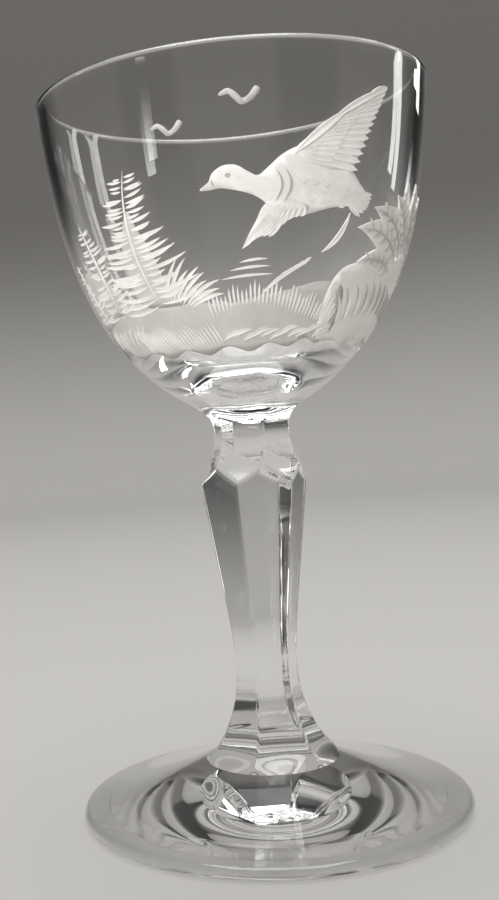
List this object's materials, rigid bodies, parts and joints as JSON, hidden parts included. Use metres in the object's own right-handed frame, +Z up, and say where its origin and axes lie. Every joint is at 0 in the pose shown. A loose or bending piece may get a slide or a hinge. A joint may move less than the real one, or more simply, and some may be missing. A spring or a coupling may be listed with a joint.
{
  "type": "liqueur glass",
  "caption": "Small stemmed liqueur glass: a flared tulip bowl with a wheel-engraved wildfowl scene, a cut faceted stem and a round foot, in clear crystal.",
  "frame": {"origin": "centre of the foot's resting ring, on the table", "axes": "+Z up along the stem, -Y the side that carries the engraved bird, +X to its right"},
  "size_m": [0.0516, 0.0516, 0.095],
  "materials": {
    "crystal": "clear polished crystal, the engraving matt white"
  },
  "bodies": {
    "root": {"bowl": "crystal", "stem": "crystal", "foot": "crystal"}
  },
  "joints": []
}
